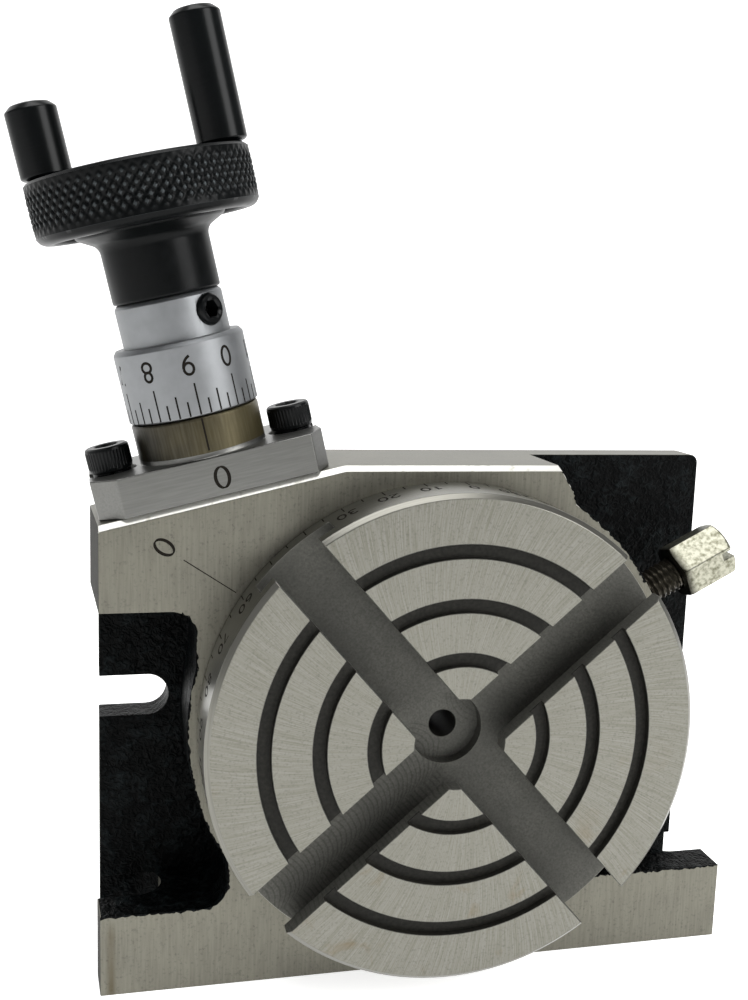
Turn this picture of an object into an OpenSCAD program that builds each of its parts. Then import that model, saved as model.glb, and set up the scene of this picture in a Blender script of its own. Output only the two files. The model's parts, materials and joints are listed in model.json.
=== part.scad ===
// Small horizontal and vertical rotary table, 80 mm, standing on its foot.
// The table's axis points along -Y, the foot rests on Z = 0, and the worm axis lies in the Y = 0 plane.

/* [Table] */
// Diameter of the T-slotted table
table_d = 80; // [78:1:80]
// Thickness of the table at its rim
table_t = 11.6; // [11:0.1:12]
// Angle of the first T-slot from the X axis at rest
slot_angle = 41.4; // [0:0.1:89]
// Width of the T-slot's mouth
slot_w = 8.9; // [7:0.1:9]
// Width of the T-slot's undercut
slot_under_w = 15; // [13:0.5:16]
// Thickness of the lip above the undercut
lip_t = 3.2; // [3:0.1:4]
// Depth of the T-slot from the table's face
slot_depth = 7.8; // [7.5:0.1:8]
// Width of the concentric ring grooves
groove_w = 2.2; // [1.5:0.1:2.4]
// Depth of the concentric ring grooves
groove_depth = 1.2; // [0.8:0.1:1.5]
// Diameter of the centring bore in the slot floor
centre_bore_d = 12; // [10:0.5:12]
// Diameter that the bore opens to through the lips
mouth_d = 14.8; // [13:0.1:15]
// Diameter of the small hole through the spindle
through_d = 4.5; // [3:0.5:5]

/* [Casting] */
// Thickness of the casting from its back face to its front face
body_h = 20.5; // [20.5:0.5:22]
// Height of the table's axis above the foot
axis_height = 44.1; // [44:0.1:46]
// Height of the casting's top edge above the table's axis
top_edge = 42.5; // [42:0.1:44]
// Reach of the casting to the left of the table's axis
left_reach = 55.2; // [55:0.1:58]
// Reach of the foot to the right of the table's axis
right_reach = 54; // [54:0.1:56]
// Thickness of the two clamping ledges
ledge_t = 6.4; // [6:0.1:7]
// Radius of the round boss under the table
boss_r = 42; // [41.5:0.1:42.5]
// Height of the foot's bar
foot_h = 13.7; // [13:0.1:14]
// Width of the ledges' clamping slots
ledge_slot_w = 7; // [6:0.1:8]
// Width of the foot's clamping notches
foot_slot_w = 9.3; // [8:0.1:10]

/* [Worm] */
// Module of the worm and its wheel
gear_module = 1.25; // [1.25:0.25:1.25]
// Number of teeth on the worm wheel
wheel_teeth = 36; // [36:1:36]
// Pitch diameter of the worm
worm_pitch_d = 9; // [9:1:9]
// Tilt of the worm's axis from the upright
worm_tilt = 13.6; // [12:0.1:15]
// Face width of the worm wheel
wheel_face_w = 6.5; // [6:0.1:6.6]

/* [Handwheel] */
// Diameter of the handwheel's rim
wheel_rim_d = 34.9; // [32:0.2:36]
// Diameter of the graduated dial
dial_d = 20.7; // [19:0.1:21]
// Diameter of both handles
handle_d = 7.9; // [7:0.1:8]
// Length of the long handle beyond the rim
long_handle_l = 20.8; // [15:0.1:25]
// Length of the short handle beyond the rim
short_handle_l = 11.9; // [8:0.1:14]
// Angle of the long handle round the worm axis at rest
handle_angle = 8; // [-30:1:60]

/* [Hidden] */
$fn = 96;
eps = 0.01;

// Levels along the table's axis, measured from the casting's back face
table_gap = 0.4;
oil_gap = 0.02;
running_gap = 0.05;
table_z = body_h + table_gap;
face_z = table_z + table_t;
worm_z = body_h / 2;
web_z0 = 3.2;
cavity_z = 6.4;
wheel_z0 = worm_z - wheel_face_w / 2;
wheel_z1 = worm_z + wheel_face_w / 2;
spindle_end_z = web_z0 - 0.05;
floor_z = face_z - slot_depth;
bore_floor_z = face_z - 10;

// Radii about the table's axis
table_r = table_d / 2;
hub_r = 20;
spindle_r = 11;
cavity_r = 25.5;
land_r0 = 27;
land_r1 = 33;
groove_radii = [13.8, 22.4, 31.0];
lock_angle = 28;
lock_z = 16.2;
lock_hole_r = 3.05;
lock_screw_r = 3;

// Worm and wheel
wheel_pitch_r = gear_module * wheel_teeth / 2;
worm_pitch_r = worm_pitch_d / 2;
worm_offset = wheel_pitch_r + worm_pitch_r;
wheel_tip_r = wheel_pitch_r + 0.9 * gear_module;
wheel_root_r = wheel_pitch_r - 1.2 * gear_module;
worm_tip_r = worm_pitch_r + 0.9 * gear_module;
worm_root_r = worm_pitch_r - 1.2 * gear_module;
axial_pitch = PI * gear_module;
lead_angle = atan(gear_module / worm_pitch_d);
pressure_angle = 20;
thread_half = 0.2 * axial_pitch;
gap_half = 0.285 * axial_pitch;

// Stations along the worm axis, measured from the foot of the table's axis
seat_s = 45.3;
flange_t = 6.3;
flange_s = seat_s + flange_t;
barrel_s = 58;
bush_inner_s = 16;
bush_r = 8;
barrel_r = 10.2;
flange_half_w = 18.5;
flange_corner_left = 4;
flange_corner_right = 2.4;
bush_screw_u = 14.8;
thread_half_l = 11;
shoulder_s = 15;
tail_s = -20.5;
journal_r = 4;
dial_s = barrel_s + 0.15;
dial_step_s = 69.7;
dial_end_s = 76.5;
dial_neck_r = 8.5;
hub_s = 76.9;
rim_s0 = 87.3;
rim_s1 = 96.8;
dish_s = 92.3;
handle_pitch_r = 13.6;
thrust_nut_s1 = 63.4;
grub_s = 60.9;
set_screw_s = 73.4;
set_screw_angle = 50;
key_s0 = 79;
key_s1 = 87;

// Puts the lying model upright on its foot, with the worm axis at Y = 0
module upright() {
    translate([0, worm_z, axis_height]) rotate([90, 0, 0]) children();
}

// Local frame of the worm: Z runs along the worm axis, outwards to the handwheel
module on_worm() {
    rotate(worm_tilt) translate([-worm_offset, 0, worm_z]) rotate([-90, 0, 0]) children();
}

// Local frame of the lock screw: Z runs outwards from the table's axis
module on_lock() {
    rotate(lock_angle) translate([0, 0, lock_z]) rotate([0, 90, 0]) children();
}

module ring(r_out, r_in, h) {
    difference() {
        cylinder(r = r_out, h = h);
        translate([0, 0, -1]) cylinder(r = r_in, h = h + 2);
    }
}

// Solid of revolution from [radius, height] corners
module turned(corners) {
    rotate_extrude() polygon(corners);
}

// Rectangle with round corners, from corner a to corner b
module rounded_box_2d(a, b, r) {
    translate([a[0] + r, a[1]]) square([b[0] - a[0] - 2 * r, b[1] - a[1]]);
    translate([a[0], a[1] + r]) square([b[0] - a[0], b[1] - a[1] - 2 * r]);
    for (x = [a[0] + r, b[0] - r]) {
        for (y = [a[1] + r, b[1] - r]) {
            translate([x, y]) circle(r = r, $fn = 32);
        }
    }
}

// Socket-head cap screw pointing down -Z, with its head seat at Z = 0
module cap_screw(d, l, head_d, head_h, socket_af) {
    difference() {
        union() {
            turned([[0, 0], [head_d / 2, 0], [head_d / 2, head_h - 0.3], [head_d / 2 - 0.3, head_h],
                [0, head_h]]);
            translate([0, 0, -l]) cylinder(r1 = d / 2 - 0.4, r2 = d / 2, h = 0.4);
            translate([0, 0, 0.4 - l]) cylinder(d = d, h = l);
        }
        translate([0, 0, head_h - 0.55 * head_h]) cylinder(d = socket_af / cos(30), h = head_h, $fn = 6);
    }
}

// Headless screw with a hex socket, from Z = 0 up to Z = l
module grub_screw(d, l, socket_af) {
    difference() {
        turned([[0, 0], [d / 2 - 0.5, 0], [d / 2, 0.5], [d / 2, l - 0.3], [d / 2 - 0.3, l], [0, l]]);
        translate([0, 0, 0.45 * l]) cylinder(d = socket_af / cos(30), h = l, $fn = 6);
    }
}

// ---- Casting ----

foot_top = foot_h - axis_height;
pocket_top = 19.6;
slope = tan(worm_tilt);
slope_y0 = seat_s / cos(worm_tilt);
edge_x = (top_edge - slope_y0) / slope;
notch_x = 19.1;
chamfer = 0.9;

// Whole casting seen from the front, before the pockets are sunk
module casting_plan() {
    polygon([[-left_reach - 2, -axis_height], [right_reach, -axis_height], [right_reach, top_edge],
        [edge_x, top_edge], [-left_reach - 2, slope_y0 - slope * (left_reach + 2)]]);
}

// Rough cast pockets above the two clamping ledges
module left_pocket_2d() {
    difference() {
        union() {
            rounded_box_2d([-80, -10], [-40.2, pocket_top], 4);
            rounded_box_2d([-80, foot_top], [-34.8, 6], 4);
        }
        circle(r = boss_r - 0.5);
    }
}

module right_pocket_2d() {
    difference() {
        translate([notch_x, foot_top]) square([60, 90]);
        circle(r = boss_r + 0.4);
        polygon([[notch_x - 5, 60], [notch_x, top_edge], [notch_x + 0.5, 41.5], [22.1, 37.6], [22.4, 36.3],
            [22.4, 20], [notch_x - 5, 20]]);
    }
}

// Clamping ledges at the bottom of the pockets
module ledges() {
    linear_extrude(ledge_t) {
        translate([-54.9, foot_top - 2]) square([24, pocket_top - foot_top + 4]);
        translate([26, foot_top - 2]) square([25.4, top_edge - foot_top + 0.5]);
        translate([16, 20]) square([33.9, top_edge - 20]);
        translate([49.9, top_edge - 1.5]) circle(r = 1.5, $fn = 32);
    }
}

// Round-ended clamping slot through a ledge, open outwards along +X
module ledge_slot(length) {
    translate([0, 0, -1]) linear_extrude(ledge_t + 2) {
        translate([0, -ledge_slot_w / 2]) square([length, ledge_slot_w]);
        circle(d = ledge_slot_w);
    }
}

// Round-ended notch through the foot's bar, open outwards along +X
module foot_notch(length) {
    translate([0, foot_top - foot_h - 1, worm_z - 1]) rotate([-90, 0, 0])
        linear_extrude(foot_h + 1) {
            translate([0, -foot_slot_w / 2]) square([length, foot_slot_w]);
            circle(d = foot_slot_w);
        }
}

// Cuts that give the machined upper edges their bevel
module edge_bevels() {
    translate([edge_x, top_edge, body_h]) rotate([45, 0, 0])
        translate([-2, -chamfer * 0.7071, -chamfer * 0.7071])
            cube([notch_x - edge_x + 8, 2 * chamfer, 1.4142 * chamfer]);
    rotate(worm_tilt) translate([-70, seat_s, body_h]) rotate([45, 0, 0])
        translate([0, -chamfer * 0.7071, -chamfer * 0.7071])
            cube([70 - 5.4, 2 * chamfer, 1.4142 * chamfer]);
}

module body_casting() {
    slot_y = 1.7;
    color([0.55, 0.54, 0.50]) upright() difference() {
        union() {
            linear_extrude(body_h) difference() {
                casting_plan();
                left_pocket_2d();
                right_pocket_2d();
            }
            ledges();
            ring(land_r1, land_r0, table_z - oil_gap);
        }
        // Draft on the left side
        translate([-left_reach - 1, -80, 0]) rotate([0, 3, 0]) translate([-20, 0, -5]) cube([20, 160, 40]);
        // Behind its notches the foot is no wider than the ledges
        translate([51.4, foot_top - foot_h - 1, -1]) cube([20, foot_h + 1, worm_z + 1]);
        translate([-74.9, foot_top - foot_h - 1, -1]) cube([20, foot_h + 1, worm_z + 1]);
        // Cavity for the worm wheel, spindle bore and the recess of the retaining plate
        translate([0, 0, cavity_z]) cylinder(r = cavity_r, h = 30);
        translate([0, 0, -1]) cylinder(r = spindle_r + running_gap, h = 10);
        translate([0, 0, -1]) cylinder(r = 17, h = web_z0 + 1);
        // Worm tunnel, tail bearing and the tapped holes of the bush
        on_worm() {
            translate([0, 0, -13.5]) cylinder(r = bush_r, h = 80);
            translate([0, 0, tail_s - 1.5]) cylinder(r = 3.5 + running_gap, h = 12);
            for (u = [-bush_screw_u, bush_screw_u]) {
                translate([u, 0, seat_s - 11]) cylinder(r = 2, h = 20);
            }
        }
        // Tapped hole of the table lock
        on_lock() translate([0, 0, 20]) cylinder(r = lock_hole_r, h = 40);
        // Clamping slots
        translate([-47, slot_y, 0]) mirror([1, 0, 0]) ledge_slot(20);
        translate([47, slot_y, 0]) ledge_slot(20);
        translate([-49.5, 0, 0]) mirror([1, 0, 0]) foot_notch(20);
        translate([48.5, 0, 0]) foot_notch(20);
        edge_bevels();
    }
}

// ---- Table ----

module t_slot() {
    translate([0, -slot_w / 2, floor_z]) cube([table_d, slot_w, slot_depth + 1]);
    translate([0, -slot_under_w / 2, floor_z]) cube([table_d, slot_under_w, slot_depth - lip_t]);
}

// Holes of the worm wheel's screws and dowels, which pass into the hub
module hub_holes(r, z0, z1) {
    for (k = [0 : 3]) {
        rotate(slot_angle + 90 * k) translate([15, 0, z0]) cylinder(r = r, h = z1 - z0);
    }
}

module dowel_holes(r, z0, z1) {
    for (k = [0, 2]) {
        rotate(slot_angle + 45 + 90 * k) translate([15, 0, z0]) cylinder(r = r, h = z1 - z0);
    }
}

module plate_screw_places() {
    for (k = [0 : 2]) {
        rotate(30 + 120 * k) translate([7, 0, 0]) children();
    }
}

module table_top() {
    edge = 0.8;
    color([0.66, 0.66, 0.61]) upright() difference() {
        union() {
            translate([0, 0, table_z]) turned([[0, 0], [table_r - 0.4, 0], [table_r, 0.4],
                [table_r, table_t - edge], [table_r - edge, table_t], [0, table_t]]);
            translate([0, 0, wheel_z1]) cylinder(r = hub_r, h = table_z - wheel_z1 + 1);
            translate([0, 0, spindle_end_z]) cylinder(r = spindle_r, h = wheel_z1);
        }
        for (k = [0 : 3]) rotate(slot_angle + 90 * k) t_slot();
        for (r = groove_radii) {
            translate([0, 0, face_z - groove_depth]) ring(r + groove_w / 2, r - groove_w / 2, 5);
        }
        translate([0, 0, face_z - lip_t]) cylinder(d = mouth_d, h = 10);
        translate([0, 0, bore_floor_z]) cylinder(d = centre_bore_d, h = 20);
        cylinder(d = through_d, h = 40);
        hub_holes(1.5, 0, 19);
        dowel_holes(1.5, 0, 18);
        plate_screw_places() cylinder(r = 1.5, h = 11);
    }
}

module tooth_gap() {
    reach = 1.2;
    low = wheel_root_r - wheel_pitch_r;
    high = wheel_tip_r - wheel_pitch_r + reach;
    t = tan(pressure_angle);
    translate([wheel_pitch_r, 0, worm_z]) rotate([-lead_angle, 0, 0]) translate([0, 0, -6])
        linear_extrude(12) polygon([[low, -gap_half - low * t], [high, -gap_half - high * t],
            [high, gap_half + high * t], [low, gap_half + low * t]]);
}

module worm_wheel() {
    color([0.70, 0.50, 0.24]) upright() difference() {
        translate([0, 0, wheel_z0]) cylinder(r = wheel_tip_r, h = wheel_face_w);
        cylinder(r = spindle_r, h = 40);
        hub_holes(1.5, 0, 40);
        hub_holes(2.9, 0, wheel_z0 + 3.2);
        dowel_holes(1.5, 0, 40);
        for (k = [0 : wheel_teeth - 1]) {
            rotate(180 + worm_tilt + 360 / wheel_teeth * k) tooth_gap();
        }
    }
}

module worm_wheel_screws() {
    color([0.16, 0.16, 0.17]) upright() for (k = [0 : 3]) {
        rotate(slot_angle + 90 * k) translate([15, 0, wheel_z0 + 3.2]) rotate([180, 0, 0])
            cap_screw(3, 8, 5.5, 3, 2.5);
    }
}

module worm_wheel_dowels() {
    color([0.60, 0.61, 0.62]) upright() dowel_holes(1.5, wheel_z0 + 0.3, 17.5);
}

module table_thrust_washer() {
    thickness = wheel_z0 - cavity_z - 2 * oil_gap;
    color([0.76, 0.60, 0.32]) upright()
        translate([0, 0, cavity_z + oil_gap]) ring(18, spindle_r + 2 * running_gap, thickness);
}

module retaining_plate() {
    color([0.58, 0.59, 0.60]) upright() difference() {
        translate([0, 0, spindle_end_z - 2.2]) cylinder(r = 16, h = 2.2);
        cylinder(d = through_d, h = 10);
        plate_screw_places() {
            cylinder(r = 1.6, h = 10);
            translate([0, 0, spindle_end_z - 2.2 - eps]) cylinder(r1 = 3.1, r2 = 1.6, h = 1.5);
        }
    }
}

module retaining_plate_screws() {
    color([0.20, 0.20, 0.21]) upright() plate_screw_places() difference() {
        turned([[0, 0.98], [2.9, 0.98], [2.9, 1.05], [1.5, 2.45], [1.5, 10.2], [1.1, 10.6], [0, 10.6]]);
        cylinder(d = 2 / cos(30), h = 2.2, $fn = 6);
    }
}

// ---- Worm bush ----

module bush_screw_places() {
    for (u = [-bush_screw_u, bush_screw_u]) {
        translate([u, 0, 0]) children();
    }
}

// Flange as wide as the body, with its corners cut off
module flange_2d() {
    half = body_h / 2;
    left = flange_corner_left;
    right = flange_corner_right;
    polygon([[-flange_half_w, -half + left], [-flange_half_w + left, -half],
        [flange_half_w - right, -half], [flange_half_w, -half + left],
        [flange_half_w, half - left], [flange_half_w - right, half],
        [-flange_half_w + left, half], [-flange_half_w, half - left]]);
}

module worm_bush() {
    spot = 0.7;
    color([0.50, 0.50, 0.48]) upright() on_worm() difference() {
        union() {
            translate([0, 0, seat_s + 0.02]) linear_extrude(flange_t - 0.02) flange_2d();
            translate([0, 0, seat_s + 1]) turned([[0, 0], [barrel_r, 0],
                [barrel_r, barrel_s - seat_s - 1.3], [barrel_r - 0.3, barrel_s - seat_s - 1],
                [0, barrel_s - seat_s - 1]]);
            translate([0, 0, bush_inner_s])
                cylinder(r = bush_r - 0.02, h = seat_s - bush_inner_s + 2);
        }
        translate([0, 0, 0]) cylinder(r = journal_r + running_gap, h = 80);
        bush_screw_places() {
            translate([0, 0, seat_s - 1]) cylinder(r = 2.15, h = 20);
            translate([0, 0, flange_s - spot]) cylinder(r = 3.9, h = 20);
        }
    }
}

module worm_bush_screws() {
    color([0.08, 0.08, 0.09]) upright() on_worm() bush_screw_places()
        translate([0, 0, flange_s + 0.2]) cap_screw(4, 16, 7, 4, 3);
}

// Split spring washers, one under each screw head
module worm_bush_spring_washers() {
    color([0.12, 0.12, 0.13]) upright() on_worm() bush_screw_places()
        translate([0, 0, flange_s - 0.7]) difference() {
            ring(3.05, 2.05, 0.9);
            translate([0, -0.25, -1]) rotate([0, 20, 0]) cube([5, 0.5, 4]);
        }
}

// ---- Worm shaft ----

// Section square to the axis of the right-hand, single-start thread
function thread_r(w) = min(worm_tip_r, max(worm_root_r + 0.05,
    worm_pitch_r + (thread_half - w) / tan(pressure_angle)));

module thread_section() {
    tip = 360 / axial_pitch * (thread_half - (worm_tip_r - worm_pitch_r) * tan(pressure_angle));
    foot = 360 / axial_pitch * (thread_half + (worm_pitch_r - worm_root_r) * tan(pressure_angle));
    angles = [for (k = [0 : 4]) tip * k / 4, for (k = [1 : 5]) tip + (foot - tip) * k / 5,
        for (k = [1 : 4]) foot + (180 - foot) * k / 4];
    left = [for (k = [len(angles) - 2 : -1 : 1]) -angles[k]];
    polygon([for (a = concat(angles, left)) let (r = thread_r(abs(a) * axial_pitch / 360))
        [r * cos(a), r * sin(a)]]);
}

module thread() {
    start = -360 * thread_half_l / axial_pitch;
    translate([0, 0, -thread_half_l]) rotate(start)
        linear_extrude(2 * thread_half_l, twist = 2 * start, slices = 110, $fn = 24)
            thread_section();
}

module worm_shaft() {
    color([0.56, 0.57, 0.58]) upright() on_worm() union() {
        thread();
        turned([[0, tail_s], [3.1, tail_s], [3.5, tail_s + 0.4], [3.5, -14], [worm_root_r, -13],
            [worm_root_r, -10], [0, -10]]);
        difference() {
            turned([[0, 10], [worm_root_r, 10], [worm_root_r, 13], [5.5, 13], [5.5, shoulder_s],
                [journal_r, shoulder_s], [journal_r, dish_s - 0.3], [0, dish_s - 0.3]]);
            translate([journal_r - 1.2, -1, key_s0]) cube([5, 2, key_s1 - key_s0]);
            translate([0, 0, dish_s - 12]) cylinder(r = 2, h = 20);
        }
    }
}

module worm_thrust_washer() {
    color([0.76, 0.60, 0.32]) upright() on_worm()
        translate([0, 0, shoulder_s + oil_gap])
            ring(7, journal_r + running_gap, bush_inner_s - shoulder_s - 2 * oil_gap);
}

// Round nut that takes up the worm's end play, hidden inside the dial
module worm_thrust_nut() {
    color([0.45, 0.45, 0.46]) upright() on_worm() difference() {
        translate([0, 0, barrel_s + oil_gap]) ring(7, journal_r, thrust_nut_s1 - barrel_s - oil_gap);
        translate([0, 0, grub_s]) rotate([-90, 0, 0]) cylinder(r = 1.5, h = 20);
    }
}

module thrust_nut_grub_screw() {
    color([0.10, 0.10, 0.11]) upright() on_worm()
        translate([0, journal_r, grub_s]) rotate([-90, 0, 0]) grub_screw(3, 2.8, 1.5);
}

// ---- Dial ----

module graduated_dial() {
    r = dial_d / 2;
    color([0.68, 0.69, 0.70]) upright() on_worm() difference() {
        turned([[0, dial_s], [r - 0.2, dial_s], [r, dial_s + 0.2], [r, dial_step_s - 0.7],
            [r - 0.5, dial_step_s], [dial_neck_r, dial_step_s], [dial_neck_r, dial_end_s - 0.6],
            [dial_neck_r - 0.5, dial_end_s], [0, dial_end_s]]);
        translate([0, 0, dial_s - 1]) cylinder(r = journal_r + running_gap, h = 40);
        translate([0, 0, dial_s - 1]) cylinder(r = 7.4, h = thrust_nut_s1 + 0.4 - dial_s + 1);
        rotate([0, 0, -set_screw_angle]) translate([0, 0, set_screw_s]) rotate([0, 90, 0])
            cylinder(r = 2.5, h = 20);
    }
}

module dial_set_screw() {
    color([0.08, 0.08, 0.09]) upright() on_worm()
        rotate([0, 0, -set_screw_angle]) translate([journal_r + running_gap, 0, set_screw_s])
            rotate([0, 90, 0]) grub_screw(5, 5.1, 2.5);
}

// ---- Handwheel ----

module handle_places(k) {
    rotate([0, 0, -handle_angle + 180 * k]) translate([handle_pitch_r, 0, 0]) children();
}

module handwheel() {
    r = wheel_rim_d / 2;
    hub = 8.5;
    color([0.07, 0.08, 0.08]) upright() on_worm() difference() {
        turned([[0, hub_s], [hub - 0.6, hub_s], [hub, hub_s + 0.6], [hub, 85], [9, 85.9],
            [11.5, 87.2], [11.8, 87.7], [11.8, 89.4], [14.6, 89.4], [14.8, rim_s0 + 0.3],
            [15.4, rim_s0], [16.2, rim_s0 + 0.1], [16.9, rim_s0 + 0.5], [r, rim_s0 + 1.3],
            [r, rim_s1 - 0.5], [r - 0.5, rim_s1], [9.2, rim_s1], [7.2, dish_s], [0, dish_s]]);
        translate([0, 0, hub_s - 1]) cylinder(r = journal_r, h = 30);
        translate([journal_r - 1, -1, key_s0]) cube([2, 2, key_s1 - key_s0]);
        for (k = [0, 1]) handle_places(k) translate([0, 0, rim_s1 - 5]) cylinder(r = 2.5, h = 20);
    }
}

module handwheel_key() {
    color([0.45, 0.45, 0.46]) upright() on_worm()
        translate([journal_r - 1.2, -1, key_s0]) cube([2.2, 2, key_s1 - key_s0]);
}

module handwheel_washer() {
    color([0.10, 0.10, 0.11]) upright() on_worm() translate([0, 0, dish_s]) ring(6, 2, 1);
}

module handwheel_screw() {
    color([0.08, 0.08, 0.09]) upright() on_worm()
        translate([0, 0, dish_s + 1]) cap_screw(4, 10, 7, 2.6, 3);
}

// Turned handle on a threaded stem, with a short neck above the rim
module handle(length) {
    r = handle_d / 2;
    translate([0, 0, rim_s1]) turned([[0, -4.8], [2.2, -4.8], [2.5, -4.5], [2.5, 0.5], [r - 0.3, 0.5],
        [r, 0.8], [r, length - 1.2], [r - 1, length - 0.3], [1.6, length], [0, length]]);
}

module long_handle() {
    color([0.07, 0.08, 0.08]) upright() on_worm() handle_places(0) handle(long_handle_l);
}

module short_handle() {
    color([0.07, 0.08, 0.08]) upright() on_worm() handle_places(1) handle(short_handle_l);
}

// ---- Table lock ----

lock_tip = 30.5;
pad_end = 30.1;
lock_head_r0 = 48.9;
lock_head_l = 10;
lock_af = 9;

module lock_screw() {
    color([0.78, 0.77, 0.70]) upright() on_lock() difference() {
        union() {
            translate([0, 0, lock_tip]) cylinder(r1 = 2, r2 = lock_screw_r, h = 0.5);
            translate([0, 0, lock_tip + 0.5]) cylinder(r = lock_screw_r, h = 20);
            intersection() {
                translate([0, 0, lock_head_r0]) rotate([0, 0, 16 + 90])
                    cylinder(d = lock_af / cos(30), h = lock_head_l, $fn = 6);
                turned([[0, lock_head_r0], [4.7, lock_head_r0], [5.3, lock_head_r0 + 0.5],
                    [5.3, lock_head_r0 + 9], [4.2, lock_head_r0 + 9.8], [0, lock_head_r0 + 10]]);
            }
        }
        translate([-8, -0.7, lock_head_r0 + 7.6]) rotate([0, 0, 0]) cube([16, 1.4, 5]);
    }
}

// Brass slug that the screw presses against the table's hub
module lock_pad() {
    color([0.76, 0.60, 0.32]) upright() on_lock() intersection() {
        turned([[0, hub_r], [2.2, hub_r], [2.2, 25], [2.95, 25.75], [2.95, pad_end], [0, pad_end]]);
        rotate([0, -90, 0]) translate([0, 0, -10]) ring(60, hub_r + 0.27, 20);
    }
}

body_casting();
table_top();
worm_wheel();
worm_wheel_screws();
worm_wheel_dowels();
table_thrust_washer();
retaining_plate();
retaining_plate_screws();
worm_bush();
worm_bush_screws();
worm_bush_spring_washers();
worm_shaft();
worm_thrust_washer();
worm_thrust_nut();
thrust_nut_grub_screw();
graduated_dial();
dial_set_screw();
handwheel();
handwheel_key();
handwheel_washer();
handwheel_screw();
long_handle();
short_handle();
lock_screw();
lock_pad();
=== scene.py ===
import json
import math

import bmesh
import bpy
from mathutils import Matrix, Vector, noise


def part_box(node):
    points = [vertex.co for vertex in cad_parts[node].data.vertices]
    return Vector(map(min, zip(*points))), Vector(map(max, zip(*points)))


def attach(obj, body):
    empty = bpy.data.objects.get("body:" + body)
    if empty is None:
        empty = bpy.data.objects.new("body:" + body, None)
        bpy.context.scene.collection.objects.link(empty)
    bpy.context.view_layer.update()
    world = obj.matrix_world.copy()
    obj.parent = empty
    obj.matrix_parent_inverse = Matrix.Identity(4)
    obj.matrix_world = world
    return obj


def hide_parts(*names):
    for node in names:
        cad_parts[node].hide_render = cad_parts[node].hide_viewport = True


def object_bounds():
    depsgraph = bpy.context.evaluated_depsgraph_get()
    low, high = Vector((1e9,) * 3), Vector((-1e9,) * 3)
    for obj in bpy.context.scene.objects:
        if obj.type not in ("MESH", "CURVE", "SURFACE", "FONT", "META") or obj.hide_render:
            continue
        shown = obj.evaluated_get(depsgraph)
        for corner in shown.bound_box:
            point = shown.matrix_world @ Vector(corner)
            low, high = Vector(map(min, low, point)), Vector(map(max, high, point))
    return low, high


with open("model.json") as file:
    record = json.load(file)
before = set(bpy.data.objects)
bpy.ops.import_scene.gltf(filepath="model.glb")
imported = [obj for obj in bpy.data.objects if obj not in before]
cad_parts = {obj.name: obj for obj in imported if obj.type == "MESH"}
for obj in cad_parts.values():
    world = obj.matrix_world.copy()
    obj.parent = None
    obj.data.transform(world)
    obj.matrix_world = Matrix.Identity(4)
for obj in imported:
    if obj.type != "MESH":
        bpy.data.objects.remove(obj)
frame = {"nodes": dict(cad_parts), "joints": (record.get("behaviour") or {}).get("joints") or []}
cad_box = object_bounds()

# ---- Camera ----
# A hand's length in front of the table, to its left and a little above it, looking slightly down.
# The lens is a short portrait one, and its shift only sets the object in the frame.
camera_data = bpy.data.cameras.new("camera")
camera_data.sensor_width = 36.0
camera_data.lens = 43.76
camera_data.shift_x = -0.00375
camera_data.shift_y = -0.00186
camera_data.clip_start = 0.01
camera = bpy.data.objects.new("camera", camera_data)
camera.location = (-0.0573, -0.19554, 0.11318)
camera.rotation_euler = [math.radians(a) for a in (80.5504, -1.872, -13.5139)]
bpy.context.scene.collection.objects.link(camera)
bpy.context.scene.camera = camera


# ---- Studio ----
# A white paper sweep that the object stands on. A large soft box stands at the right, a little above
# the table, with a wide one overhead and a very weak one at the left, in a dim white room.
def linear(code):
    """An sRGB hex colour as linear RGBA."""
    parts = [int(code[i : i + 2], 16) / 255 for i in (1, 3, 5)]
    return [c / 12.92 if c <= 0.04045 else ((c + 0.055) / 1.055) ** 2.4 for c in parts] + [1.0]


def put(material, kind, inputs=None, **settings):
    """Adds a node with its settings; an input is a value or another node's output."""
    tree = material.node_tree
    new = tree.nodes.new(kind)
    for key, value in settings.items():
        setattr(new, key, value)
    for key, value in (inputs or {}).items():
        if isinstance(value, bpy.types.NodeSocket):
            tree.links.new(value, new.inputs[key])
        else:
            new.inputs[key].default_value = value
    return new


def feed(surface, **outputs):
    """Links other nodes' outputs to the surface shader."""
    for key, output in outputs.items():
        surface.id_data.links.new(output, surface.inputs[key.replace("_", " ")])


def finish_named(name, metallic, roughness, **sockets):
    """A new material, its surface shader, and the position on the piece in millimetres."""
    material = bpy.data.materials.new(name)
    material.use_nodes = True
    surface = material.node_tree.nodes["Principled BSDF"]
    surface.inputs["Metallic"].default_value = metallic
    surface.inputs["Roughness"].default_value = roughness
    for key, value in sockets.items():
        surface.inputs[key.replace("_", " ")].default_value = value
    place = put(material, "ShaderNodeTexCoord").outputs["Object"]
    mm = put(material, "ShaderNodeMapping", {"Vector": place, "Scale": (1000, 1000, 1000)})
    return material, surface, mm.outputs["Vector"]


paper, paper_surface, _ = finish_named("matt studio paper", 0.0, 0.9)
paper_surface.inputs["Base Color"].default_value = linear("#f6f6f5")
paper_surface.inputs["Emission Color"].default_value = linear("#ffffff")
paper_surface.inputs["Emission Strength"].default_value = 0.75
sweep = bmesh.new()
bend_y, bend_r, bend_steps = 1.2, 0.6, 12
curve = [(-2.5, 0.0)]
for k in range(bend_steps + 1):
    a = math.radians(90 * k / bend_steps)
    curve.append((bend_y + bend_r * math.sin(a), bend_r - bend_r * math.cos(a)))
curve.append((bend_y + bend_r, 3.0))
rows = [[sweep.verts.new((x, y, z)) for x in (-3, 3)] for y, z in curve]
for near, far in zip(rows, rows[1:]):
    sweep.faces.new((near[0], near[1], far[1], far[0])).smooth = True
sweep_mesh = bpy.data.meshes.new("paper_sweep")
sweep.to_mesh(sweep_mesh)
sweep_mesh.materials.append(paper)
floor = bpy.data.objects.new("paper_sweep", sweep_mesh)
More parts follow.
